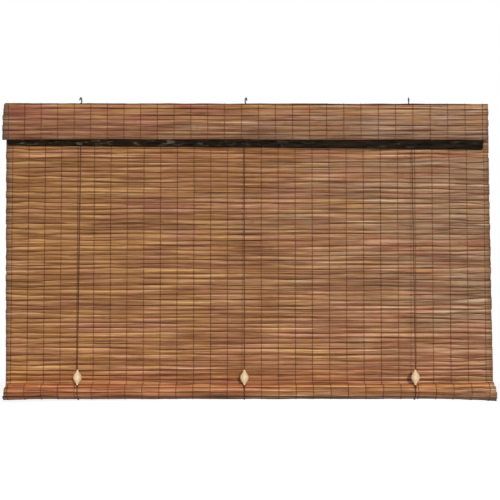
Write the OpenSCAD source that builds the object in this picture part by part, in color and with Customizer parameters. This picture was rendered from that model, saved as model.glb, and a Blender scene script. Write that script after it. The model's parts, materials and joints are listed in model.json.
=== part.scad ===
// Bamboo roll-up blind: a mat of split slats hangs from a dark headrail under a folded valance,
// and its lower end is wound round a wooden pole that three cord slings can lift.
// Millimetres, +Z up, the front faces -Y. The origin lies on the line where the three hooks hang.

/* [Mat] */
// Width of the mat, along the slats
mat_w = 1000; // [700:10:1600]
// Length of mat between the headrail's lower edge and the axis of the bottom roll
mat_drop = 501; // [300:0.5:1200]
// Gap between the valance's tail and the upper edge of the mat, both stapled to the headrail's back
mat_tail_gap = 8.7; // [3:0.1:14]
// Mean width of a slat
slat_w = 9.5; // [7:0.5:14]
// Thickness of a slat
slat_t = 1.8; // [1.2:0.1:2.6]
// Gap between two slats
slat_gap = 0.9; // [0.6:0.1:1.4]
// Bevel along the edges of a slat
slat_bevel = 0.35; // [0.2:0.05:0.5]
// Thickness of the woven web that joins the slats
web_t = 0.6; // [0.4:0.1:0.9]
// Share by which slat widths differ from the mean
slat_vary_share = 0.28; // [0:0.01:0.35]

/* [Warp threads] */
// Number of warp threads across the mat
warp_count = 29; // [27:2:41]
// Distance from the mat's edge to the outer thread
warp_margin = 12; // [8:0.5:20]
// Share by which the threads are closer than the mean at the left edge, and wider apart at the right edge
warp_drift_share = 0.036; // [0:0.001:0.05]
// Width of a thread
thread_w = 1.2; // [0.8:0.1:1.8]
// Thickness of a thread
thread_t = 0.6; // [0.4:0.1:0.8]

/* [Headrail] */
// Length of the headrail
rail_w = 980; // [680:1:1600]
// Sideways shift of the headrail, to the left
rail_shift = 7; // [0:1:12]
// Height of the headrail
rail_h = 86; // [70:1:110]
// Thickness of the headrail
rail_t = 15; // [12:0.5:22]
// Bevel along the headrail's edges
rail_bevel = 1.2; // [0.5:0.1:2]
// Fall of the headrail's lower edge, from its left end to its right end
rail_fall = 8; // [0:0.5:12]

/* [Valance] */
// Height of the valance at the front
valance_drop = 74; // [50:1:80]
// Height of the valance's tail behind the headrail
valance_tail = 24; // [16:1:26]
// Sideways shift of the valance, to the left
valance_shift = 6; // [0:0.5:8]

/* [Bottom roll] */
// Diameter of the wooden pole in the roll
pole_d = 16; // [12:0.5:24]
// Number of slats in one turn of the roll
roll_sides = 10; // [8:1:12]
// Number of slats wound on the pole
roll_slats = 21; // [13:1:28]
// Sideways shift of the roll, to the right
roll_shift = 3; // [0:0.5:6]

/* [Hooks] */
// Diameter of the hook wire
hook_wire_d = 2.5; // [2:0.1:3.2]
// Inside radius of the hook
hook_inner_r = 4.5; // [4:0.1:7]
// Length of the hook's shank below the valance
hook_shank_l = 30; // [20:1:40]
// Part of a full turn that the hook's wire goes round
hook_arc = 285; // [250:1:300]
// Distance of the left hook from the left cord's thread, towards the middle
hook_left = 6; // [4:0.5:14]
// Distance of the middle hook from the middle cord's thread, to the right
hook_off = 3; // [2:0.5:14]
// Distance of the right hook from the right cord's thread, towards the middle
hook_right = 13; // [11:0.5:16]

/* [Lift cords] */
// Diameter of the lift cord
cord_d = 2; // [1.4:0.1:2.4]
// Number of threads between the middle cord and an outer one
cord_span = 10; // [6:1:12]
// Share of a thread's spacing by which the outer cords stand in from their threads
cord_inset_share = 0.2; // [0:0.01:0.22]

/* [Beads] */
// Largest diameter of a bead
bead_d = 17.5; // [14:0.5:22]
// Height of a bead
bead_h = 31; // [24:0.5:40]
// Diameter of a bead's tips
bead_tip_d = 5; // [4.6:0.1:6]
// Fullness of the bead's sides, lower for a fuller bead
bead_full = 1; // [0.5:0.05:1.2]

/* [Hidden] */
$fn = 48;
left = 0;
middle = 1;
right = 2;

// Clearances
seat_gap = 0.15;
run_gap = 0.3;
bore_gap = 0.4;
shank_gap = 0.05;
overrun = 1;

// Heights, from the hooks' seat down
hook_ring_h = 2 * hook_inner_r + hook_wire_d;
cover_t = slat_t + 2 * (thread_t + seat_gap) + seat_gap;
rail_top_z = -hook_ring_h - cover_t;
rail_low_z = rail_top_z - rail_h;
roll_z = rail_low_z - mat_drop;
valance_top_z = rail_top_z + thread_t + 2 * seat_gap + slat_t;
valance_low_z = valance_top_z - valance_drop;
tail_low_z = valance_top_z - valance_tail;
mat_top_z = tail_low_z - mat_tail_gap;
mat_low_z = roll_z + run_gap;
mat_lap = mat_top_z - rail_low_z;

// Depths, with the headrail centred on y = 0
rail_face_y = rail_t / 2;
mat_front_y = rail_face_y + thread_t + 2 * seat_gap;
mat_back_y = mat_front_y + slat_t;
mat_mid_y = (mat_front_y + mat_back_y) / 2;

// Slats differ a little in width, by a fixed seed for each strip
mat_seed = 7;
front_seed = 3;
tail_seed = 5;
mat_h = mat_top_z - mat_low_z;

// Roll geometry: a spiral whose corners are the joints between its slats
pole_r = pole_d / 2;
roll_step = 360 / roll_sides;
roll_flat = cos(roll_step / 2);
roll_slat_t = slat_t / roll_flat;
roll_pitch = roll_slat_t + 2 * (thread_t + seat_gap);
roll_core_r = (pole_r + seat_gap) / roll_flat;
roll_r = roll_core_r + roll_slat_t + roll_pitch * roll_slats / roll_sides;
roll_y = mat_back_y - roll_r;
roll_notch_turn = roll_step * slat_gap / (slat_w + slat_gap) / 2;
roll_notch = (slat_t - web_t) / 2;

// Cord route: down the front in a straight line, under the roll, and up the back
cord_r = cord_d / 2;
roll_out_r = roll_r + thread_t + seat_gap;
sling_r = roll_out_r + run_gap + cord_r;
cord_back_y = roll_y + sling_r;
cord_front_share = 0.14;
cord_front_y = -rail_t * cord_front_share;
warp_mid = (warp_count - 1) / 2;
warp_pitch = (mat_w - 2 * warp_margin) / (warp_count - 1);
cord_warps = [warp_mid - cord_span, warp_mid, warp_mid + cord_span];
cord_inset_shares = [cord_inset_share, 0, -cord_inset_share];
hook_xs = [warp_x(cord_warps[left]) + hook_left, warp_x(cord_warps[middle]) + hook_off,
    warp_x(cord_warps[right]) - hook_right];
hook_turns = [-10, 16, -12];

// Knots, and the mortises in the headrail that hold the front ones
knot_r = 2.5;
knot_h = 5;
knot_round_share = 0.35;
pocket_room = 2;
pocket_w = 2 * (knot_r + pocket_room);
pocket_h = knot_h + 2 * pocket_room;
pocket_rise = (rail_h - hook_shank_l) / 2;
pocket_depth_share = 0.75;
pocket_z = rail_low_z + pocket_rise;
cord_hole_r = cord_r + bore_gap;
front_knot_z = pocket_z + seat_gap;
back_knot_share = 0.25;
back_knot_z = mat_top_z - mat_lap * back_knot_share;
back_knot_y = mat_back_y + thread_t + 2 * seat_gap + knot_r;

// Staples
staple_wire_d = 1;
staple_w = 10;
staple_bite = 6;
cord_staple_w = cord_d + 2 * staple_wire_d;
staple_share = 0.5;
mat_staple_z = mat_top_z - mat_lap * staple_share;
valance_staple_z = tail_low_z + slat_w * staple_share;
staple_every = 3;

// Beads, and the knots below them, by their distance up the cord from the roll
bead_r = bead_d / 2;
bead_bore_r = cord_r + bore_gap;
bead_rings = 12;
bead_knot_up = sqrt(pow(roll_out_r + run_gap, 2) - pow(sling_r - knot_r, 2));
bead_up = bead_knot_up + knot_h + seat_gap;
bead_top_up = bead_up + bead_h;

hook_ring_r = hook_inner_r + hook_wire_d / 2;
hook_shank_r = hook_wire_d / 2;
slit_share = 0.6;

// Sum of a list
function total(list, i = 0) = i < len(list) ? list[i] + total(list, i + 1) : 0;

// Slat widths that fill a strip of the given height
function slat_widths(height, seed) = let (
    n = round((height + slat_gap) / (slat_w + slat_gap)),
    shares = rands(1 - slat_vary_share, 1 + slat_vary_share, n, seed),
    room = height - (n - 1) * slat_gap
) room / total(shares) * shares;

// Place of warp thread i across the mat
function warp_x(i) = let (last = warp_count - 1)
    -mat_w / 2 + warp_margin + warp_pitch * i * (1 + warp_drift_share * (i - last) / last);

// Height of the headrail's lower edge at x
function rail_edge_z(x) = rail_low_z - rail_fall * (x + rail_shift) / rail_w;

// Where cord k leaves the headrail, and the angle round the roll at which its front run touches it
function cord_x(k) = warp_x(cord_warps[k]) + warp_pitch * cord_inset_shares[k];
function cord_mouth_z(k) = rail_edge_z(cord_x(k)) - seat_gap;
function cord_mouth_far(k) = norm([cord_front_y - roll_y, cord_mouth_z(k) - roll_z]);
function cord_mouth_turn(k) = atan2(cord_mouth_z(k) - roll_z, cord_front_y - roll_y);
function cord_turn(k) = cord_mouth_turn(k) + acos(sling_r / cord_mouth_far(k));
function cord_run(k) = sqrt(pow(cord_mouth_far(k), 2) - pow(sling_r, 2));

// Upper edges of the slats in a strip, from the top edge down
function slat_tops(widths, top) =
    [for (i = 0, z = top; i < len(widths); z = z - widths[i] - slat_gap, i = i + 1) z];

// Outline of one side of a strip of slats: a flat face with bevelled edges, then the web
function slat_side(tops, widths, face, web, out) = [
    for (i = [0 : len(widths) - 1])
        let (hi = tops[i], lo = tops[i] - widths[i], edge = face - out * slat_bevel)
        each [[web, hi], [edge, hi], [face, hi - slat_bevel], [face, lo + slat_bevel], [edge, lo], [web, lo]]
];

function reversed(list) = [for (i = [len(list) - 1 : -1 : 0]) list[i]];

// Corner of the roll's spiral, k slats out from the pole, the outermost at the back of the roll
function roll_corner(k, r) = let (turn = (k - roll_slats) * roll_step) [r * cos(turn), r * sin(turn)];
// The two edges of the notch between slats at corner k, raised above the slats
function roll_lips(k, rise) = let (r = roll_outer_r(k) + rise, d = roll_notch_turn / roll_step)
    [roll_corner(k - d, r), roll_corner(k + d, r)];
function roll_inner_r(k) = roll_core_r + roll_pitch * k / roll_sides;
function roll_outer_r(k) = roll_inner_r(k) + roll_slat_t;

// Extrudes an outline drawn in Y and Z along the X axis
module along_x(length) {
    rotate([90, 0, 90]) linear_extrude(length, center = true) children();
}

// Section of a strip of slats between two depths, hanging from a top edge
module slat_strip(widths, top, front, back) {
    tops = slat_tops(widths, top);
    mid = (front + back) / 2;
    polygon(concat(slat_side(tops, widths, front, mid - web_t / 2, -1),
        reversed(slat_side(tops, widths, back, mid + web_t / 2, 1))));
}

module headrail() {
    edge_turn = atan(rail_fall / rail_w);
    color([0.07, 0.055, 0.045]) difference() {
        translate([-rail_shift, 0, 0]) along_x(rail_w) rail_section();
        translate([-rail_shift, 0, rail_low_z]) rotate([0, edge_turn, 0])
            translate([-rail_w, -rail_t, -rail_h]) cube([2 * rail_w, 2 * rail_t, rail_h]);
        for (k = [left : right]) {
            translate([hook_xs[k], 0, rail_top_z - hook_shank_l - overrun])
                cylinder(h = hook_shank_l + 2 * overrun, r = hook_shank_r + shank_gap);
            translate([cord_x(k), cord_front_y, rail_low_z - rail_fall])
                cylinder(h = pocket_rise + rail_fall + overrun, r = cord_hole_r);
            translate([cord_x(k) - pocket_w / 2, -rail_face_y - overrun, pocket_z])
                cube([pocket_w, rail_t * pocket_depth_share + overrun, pocket_h]);
        }
    }
}

// Section of the headrail, deep enough for its sloping lower edge to be cut from it
module rail_section() {
    y = rail_face_y;
    low = rail_low_z - rail_fall;
    polygon([[-y, low], [y, low], [y, rail_top_z - rail_bevel], [y - rail_bevel, rail_top_z],
        [-y + rail_bevel, rail_top_z], [-y, rail_top_z - rail_bevel]]);
}

// The valance is a strip of the same mat, folded over the headrail with its outer face to the front
module valance() {
    fold_y = rail_face_y + thread_t + 2 * seat_gap;
    face_y = fold_y + slat_t;
    strip_top = valance_top_z - slat_t - slat_gap;
    color([0.5, 0.31, 0.22]) difference() {
        translate([-valance_shift, 0, 0]) along_x(mat_w) {
            slat_strip(slat_widths(strip_top - valance_low_z, front_seed), strip_top, -face_y, -fold_y);
            slat_strip(slat_widths(strip_top - tail_low_z, tail_seed), strip_top, fold_y, face_y);
            translate([-face_y, valance_top_z - slat_t]) square([2 * face_y, slat_t]);
            for (side = [-1, 1])
                translate([side * (fold_y + face_y) / 2 - web_t / 2, strip_top - web_t])
                    square([web_t, slat_gap + 2 * web_t]);
        }
        for (k = [left : right])
            translate([hook_xs[k], 0, rail_top_z])
                cylinder(h = cover_t + overrun, r = hook_shank_r + run_gap);
    }
}

// Threads of the valance: a band outside it and a band between it and the headrail
module valance_threads() {
    inner_y = rail_face_y + seat_gap;
    outer_y = rail_face_y + thread_t + 3 * seat_gap + slat_t;
    color([0.16, 0.09, 0.06]) for (i = [0 : warp_count - 1])
        translate([warp_x(i) - valance_shift, 0, 0]) along_x(thread_w) {
            thread_fold(outer_y, valance_top_z + seat_gap);
            thread_fold(inner_y, rail_top_z + seat_gap);
        }
}

// Section of a thread that runs over the fold, lying outside the given depth and height
module thread_fold(y, z) {
    polygon([[-y, valance_low_z], [-y, z], [y, z], [y, tail_low_z], [y + thread_t, tail_low_z],
        [y + thread_t, z + thread_t], [-y - thread_t, z + thread_t], [-y - thread_t, valance_low_z]]);
}

module mat() {
    widths = slat_widths(mat_h, mat_seed);
    tops = slat_tops(widths, mat_top_z);
    slit_l = slit_share * (warp_x(warp_mid) - warp_x(0));
    color([0.56, 0.38, 0.24]) difference() {
        along_x(mat_w) slat_strip(widths, mat_top_z, mat_front_y, mat_back_y);
        for (i = [1 : len(widths) - 1], side = [-1, 1])
            translate([side * mat_w / 4, mat_mid_y, tops[i] + slat_gap / 2])
                cube([slit_l, web_t + overrun / 2, slat_gap * slit_share], center = true);
    }
}

module warp_threads() {
    color([0.16, 0.09, 0.06]) for (i = [0 : warp_count - 1])
        for (y = [mat_front_y - seat_gap - thread_t, mat_back_y + seat_gap])
            translate([warp_x(i) - thread_w / 2, y, mat_low_z]) cube([thread_w, thread_t, mat_h]);
}

// A staple driven forwards into the headrail, its crown at the given depth
module staple(w, crown_y) {
    wire_r = staple_wire_d / 2;
    leg_l = crown_y - rail_face_y + staple_bite;
    for (side = [-1, 1])
        translate([side * w / 2, crown_y, 0]) {
            rotate([90, 0, 0]) cylinder(h = leg_l, r = wire_r);
            sphere(r = wire_r);
        }
    translate([-w / 2, crown_y, 0]) rotate([0, 90, 0]) cylinder(h = w, r = wire_r);
}

module staple_row(z) {
    for (i = [1 : staple_every : warp_count - 2])
        translate([(warp_x(i) + warp_x(i + 1)) / 2, 0, z])
            staple(staple_w, mat_back_y + seat_gap + staple_wire_d / 2);
}

module mat_staples() {
    color("silver") staple_row(mat_staple_z);
}

module valance_staples() {
    color("silver") staple_row(valance_staple_z);
}

module cord_staples() {
    color("silver") for (k = [left : right])
        translate([cord_x(k), 0, back_knot_z - seat_gap - staple_wire_d / 2])
            staple(cord_staple_w, cord_back_y + cord_r + seat_gap + staple_wire_d / 2);
}

// A screw hook: an open ring over a straight shank that goes down into the headrail
module hook(k) {
    color([0.1, 0.1, 0.1]) translate([hook_xs[k], 0, 0]) rotate([0, 0, hook_turns[k]]) {
        translate([0, 0, -hook_inner_r]) rotate([90, 0, 90]) rotate([0, 0, -90])
            rotate_extrude(angle = hook_arc) translate([hook_ring_r, 0]) circle(r = hook_wire_d / 2);
        translate([0, 0, rail_top_z - hook_shank_l])
            cylinder(h = hook_shank_l + cover_t + hook_wire_d / 2, r = hook_shank_r);
    }
}

// Places children on the front run of cord k, with Z along the cord, up from where it touches the roll
module on_cord(k) {
    translate([cord_x(k), roll_y, roll_z]) rotate([cord_turn(k) - 180, 0, 0]) translate([0, -sling_r, 0])
        children();
}

// The run of a lift cord in front of the mat, from the headrail down to the bead
module cord_front(k) {
    color([0.17, 0.1, 0.07]) on_cord(k) translate([0, 0, bead_top_up])
        cylinder(h = cord_run(k) - bead_top_up, r = cord_r);
}

// The run of a lift cord behind the mat, from the roll up to its knot over the staple
module cord_back(k) {
    color([0.17, 0.1, 0.07]) translate([cord_x(k), cord_back_y, roll_z])
        cylinder(h = back_knot_z - roll_z, r = cord_r);
}

// The part of a lift cord that goes through the bead, is knotted below it and passes under the roll
module cord_sling(k) {
    color([0.17, 0.1, 0.07]) {
        on_cord(k) {
            cylinder(h = bead_top_up, r = cord_r);
            translate([0, 0, bead_knot_up]) knot();
        }
        translate([cord_x(k), roll_y, roll_z]) rotate([90, 0, 90]) rotate([0, 0, cord_turn(k)])
            rotate_extrude(angle = 360 - cord_turn(k)) translate([sling_r, 0]) circle(r = cord_r);
    }
}

// A tight overhand knot, as a rounded barrel
module knot() {
    soft = knot_h * knot_round_share;
    rotate_extrude() polygon([[0, 0], [knot_r - soft, 0], [knot_r, soft], [knot_r, knot_h - soft],
        [knot_r - soft, knot_h], [0, knot_h]]);
}

// The front end of a lift cord: a knot in the headrail's mortise, and the cord below it in its hole
module front_knot(k) {
    stub_z = cord_mouth_z(k) + seat_gap;
    color([0.17, 0.1, 0.07]) {
        translate([cord_x(k), cord_front_y, front_knot_z]) knot();
        translate([cord_x(k), cord_front_y, stub_z])
            cylinder(h = front_knot_z - stub_z + overrun, r = cord_r);
    }
}

// The back end of a lift cord, knotted above its staple
module back_knot(k) {
    color([0.17, 0.1, 0.07]) translate([cord_x(k), back_knot_y, back_knot_z]) knot();
}

// A turned wooden bead: a spindle with a rounded equator and slim tips, bored for the cord
module bead(k) {
    tip_r = bead_tip_d / 2;
    side = [for (i = [0 : 2 * bead_rings]) let (t = i / bead_rings - 1)
        [tip_r + (bead_r - tip_r) * pow((1 + cos(180 * t)) / 2, bead_full), bead_h * i / (2 * bead_rings)]];
    color([0.88, 0.76, 0.56]) on_cord(k) translate([0, 0, bead_up])
        rotate_extrude() polygon(concat([[bead_bore_r, 0]], side, [[bead_bore_r, bead_h]]));
}

// The mat's lower end, wound round the pole: one spiral band with a notch between its slats
module roll() {
    outer = [for (k = [0 : roll_slats]) let (r = roll_outer_r(k), lips = roll_lips(k, 0))
        each k == 0 || k == roll_slats ? [roll_corner(k, r)]
            : [lips[0], roll_corner(k, r - roll_notch), lips[1]]];
    inner = [for (k = [roll_slats : -1 : 0]) roll_corner(k, roll_inner_r(k))];
    color([0.56, 0.33, 0.22]) translate([roll_shift, roll_y, roll_z]) along_x(mat_w)
        polygon(concat(outer, inner));
}

// Threads round the outside of the roll, over its last turn but one slat
module roll_threads() {
    first = roll_slats - roll_sides + 1;
    end_r = roll_outer_r(roll_slats) + seat_gap;
    low = [for (k = [first : roll_slats - 1]) each roll_lips(k, seat_gap)];
    high = [for (k = [first : roll_slats - 1]) each roll_lips(k, seat_gap + thread_t)];
    ends = [roll_corner(roll_slats, end_r), roll_corner(roll_slats, end_r + thread_t)];
    color([0.16, 0.09, 0.06]) for (i = [0 : warp_count - 1])
        translate([warp_x(i), roll_y, roll_z]) along_x(thread_w) polygon(concat(low, ends, reversed(high)));
}

module bottom_pole() {
    color([0.72, 0.55, 0.34]) translate([roll_shift - mat_w / 2, roll_y, roll_z])
        rotate([0, 90, 0]) cylinder(h = mat_w, r = pole_r);
}

headrail();
valance();
valance_threads();
valance_staples();
mat();
warp_threads();
mat_staples();
hook(left);  // hook_left
hook(middle);  // hook_middle
hook(right);  // hook_right
cord_front(left);  // cord_front_left
cord_front(middle);  // cord_front_middle
cord_front(right);  // cord_front_right
cord_back(left);  // cord_back_left
cord_back(middle);  // cord_back_middle
cord_back(right);  // cord_back_right
front_knot(left);  // front_knot_left
front_knot(middle);  // front_knot_middle
front_knot(right);  // front_knot_right
back_knot(left);  // back_knot_left
back_knot(middle);  // back_knot_middle
back_knot(right);  // back_knot_right
cord_staples();
cord_sling(left);  // cord_sling_left
cord_sling(middle);  // cord_sling_middle
cord_sling(right);  // cord_sling_right
bead(left);  // bead_left
bead(middle);  // bead_middle
bead(right);  // bead_right
roll();
roll_threads();
bottom_pole();
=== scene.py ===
# Bamboo roll-up blind: slats, threads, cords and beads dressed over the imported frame.
import json
import math
from functools import partial
import bmesh
import bpy
import numpy as np
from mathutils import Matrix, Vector


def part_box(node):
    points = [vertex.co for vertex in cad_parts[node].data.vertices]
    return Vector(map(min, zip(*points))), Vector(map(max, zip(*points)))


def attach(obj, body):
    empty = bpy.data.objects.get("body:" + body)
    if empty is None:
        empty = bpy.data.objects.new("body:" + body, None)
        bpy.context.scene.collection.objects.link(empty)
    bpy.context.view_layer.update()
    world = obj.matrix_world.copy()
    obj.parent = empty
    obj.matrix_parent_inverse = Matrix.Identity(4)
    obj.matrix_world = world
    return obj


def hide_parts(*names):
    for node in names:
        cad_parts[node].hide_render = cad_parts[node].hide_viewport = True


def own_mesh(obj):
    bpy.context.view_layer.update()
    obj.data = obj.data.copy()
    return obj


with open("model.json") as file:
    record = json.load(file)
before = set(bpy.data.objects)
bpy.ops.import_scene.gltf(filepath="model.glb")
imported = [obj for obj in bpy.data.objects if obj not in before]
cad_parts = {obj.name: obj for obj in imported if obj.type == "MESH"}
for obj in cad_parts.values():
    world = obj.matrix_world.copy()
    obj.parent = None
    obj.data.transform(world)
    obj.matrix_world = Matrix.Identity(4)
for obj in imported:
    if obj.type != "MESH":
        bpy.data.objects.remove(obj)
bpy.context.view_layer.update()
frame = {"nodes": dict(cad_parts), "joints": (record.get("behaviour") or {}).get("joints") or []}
mm = 0.001
sides = ["left", "middle", "right"]
print("frame loaded:", len(frame["nodes"]), "nodes")


# Node helpers

def linearColour(red, green, blue):
    parts = [value / 255 for value in (red, green, blue)]
    return tuple(p / 12.92 if p <= 0.04045 else ((p + 0.055) / 1.055) ** 2.4 for p in parts) + (1.0,)


def liveSocket(sockets, name):
    return next(s for s in sockets if s.name == name and s.enabled)


def feed(tree, socket, value):
    if isinstance(value, bpy.types.NodeSocket):
        tree.links.new(value, socket)
    else:
        socket.default_value = value


def addNode(tree, kind, setup=None, **inputs):
    node = tree.nodes.new(kind)
    for key, value in (setup or {}).items():
        setattr(node, key, value)
    for key, value in inputs.items():
        feed(tree, liveSocket(node.inputs, key.replace("_", " ")), value)
    return node


def maths(tree, operation, *values):
    node = tree.nodes.new("ShaderNodeMath")
    node.operation = operation
    for socket, value in zip(node.inputs, values):
        feed(tree, socket, value)
    return node.outputs[0]


def sums(tree, *operations):
    # short names for the sums that a tree uses most
    return [partial(maths, tree, operation) for operation in operations]


def vectorMaths(tree, operation, first, second):
    node = tree.nodes.new("ShaderNodeVectorMath")
    node.operation = operation
    feed(tree, node.inputs[0], first)
    feed(tree, node.inputs["Scale"] if operation == "SCALE" else node.inputs[1], second)
    return node.outputs[0]


def joinXyz(tree, x=0.0, y=0.0, z=0.0):
    return addNode(tree, "ShaderNodeCombineXYZ", X=x, Y=y, Z=z).outputs[0]


def splitXyz(tree, vector):
    return addNode(tree, "ShaderNodeSeparateXYZ", Vector=vector).outputs


def noise(tree, vector, scale=1.0, detail=2.0, roughness=0.5, size="3D"):
    node = addNode(tree, "ShaderNodeTexNoise", {"noise_dimensions": size},
                   Vector=vector, Scale=scale, Detail=detail, Roughness=roughness)
    return node.outputs[0]


# A smooth step from one value to another
def spread(tree, value, fromLow, fromHigh, toLow=0.0, toHigh=1.0):
    node = addNode(tree, "ShaderNodeMapRange", {"interpolation_type": "SMOOTHSTEP"}, Value=value)
    limits = {"From Min": fromLow, "From Max": fromHigh, "To Min": toLow, "To Max": toHigh}
    for name, limit in limits.items():
        feed(tree, liveSocket(node.inputs, name), limit)
    return node.outputs[0]


def mixColour(tree, factor, first, second, blend="MIX"):
    node = addNode(tree, "ShaderNodeMix", {"data_type": "RGBA", "blend_type": blend},
                   Factor=factor, A=first, B=second)
    return liveSocket(node.outputs, "Result")


def socketList(kind, *labels):
    return [(label, kind) for label in labels]


def newTree(name, kind, inputs, outputs):
    tree = bpy.data.node_groups.new(name, kind)
    for label, socketType in inputs:
        tree.interface.new_socket(label, in_out="INPUT", socket_type="NodeSocket" + socketType)
    for label, socketType in outputs:
        tree.interface.new_socket(label, in_out="OUTPUT", socket_type="NodeSocket" + socketType)
    return tree, tree.nodes.new("NodeGroupInput").outputs, tree.nodes.new("NodeGroupOutput").inputs


def newFigure(name, inputs):
    outputs = socketList("Color", "Colour") + socketList("Float", "Roughness", "Height")
    tree, given, made = newTree(name, "ShaderNodeTree", inputs, outputs)
    return tree, given, made, tree.nodes.new("ShaderNodeTexCoord").outputs["Object"]


def attributeOf(tree, name):
    return addNode(tree, "ShaderNodeAttribute", {"attribute_name": name}).outputs["Fac"]


def namedField(tree, name):
    node = addNode(tree, "GeometryNodeInputNamedAttribute", {"data_type": "FLOAT"}, Name=name)
    return liveSocket(node.outputs, "Attribute")


def randomField(tree, low, high, seed):
    node = addNode(tree, "FunctionNodeRandomValue", {"data_type": "FLOAT"}, Min=low, Max=high, Seed=seed)
    return liveSocket(node.outputs, "Value")


def meshStep(tree, kind, setup=None, **inputs):
    return addNode(tree, "GeometryNode" + kind, setup, **inputs).outputs[0]


def storeField(tree, geometry, name, value, domain="POINT"):
    return meshStep(tree, "StoreNamedAttribute", {"data_type": "FLOAT", "domain": domain},
                    Geometry=geometry, Name=name, Value=value)


# Slat figure: the stretch of each noise, in cycles per metre along x, y and z, then the limits of its effects
grainSet = {"streak": (9.0, 420.0, 420.0), "glint": (8.0, 560.0, 560.0), "fibre": (30.0, 2100.0, 2100.0),
            "broad": (9.0, 24.0, 24.0), "hue": (10.0, 60.0, 60.0), "bleach": (14.0, 90.0, 90.0),
            "run": (9.0, 20.0, 20.0), "sway": (7.0, 34.0, 34.0)}
bambooSet = {"allRed": 0.7, "allGold": 0.46, "greyFrom": 0.46, "greyFull": 0.8, "lightRowGrey": -0.1,
             "marginFrom": 0.484, "marginFull": 0.498, "marginShade": 0.72, "grooveShadeFrom": 0.62,
             "grooveShadeDepth": 0.86, "ringShade": 0.86, "threadShadowReach": 0.09, "threadShadowLevel": 0.84,
             "ruddyGreen": -0.13, "ruddyBlue": -0.24, "toneLight": 0.2, "baseLight": 0.87}


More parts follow.
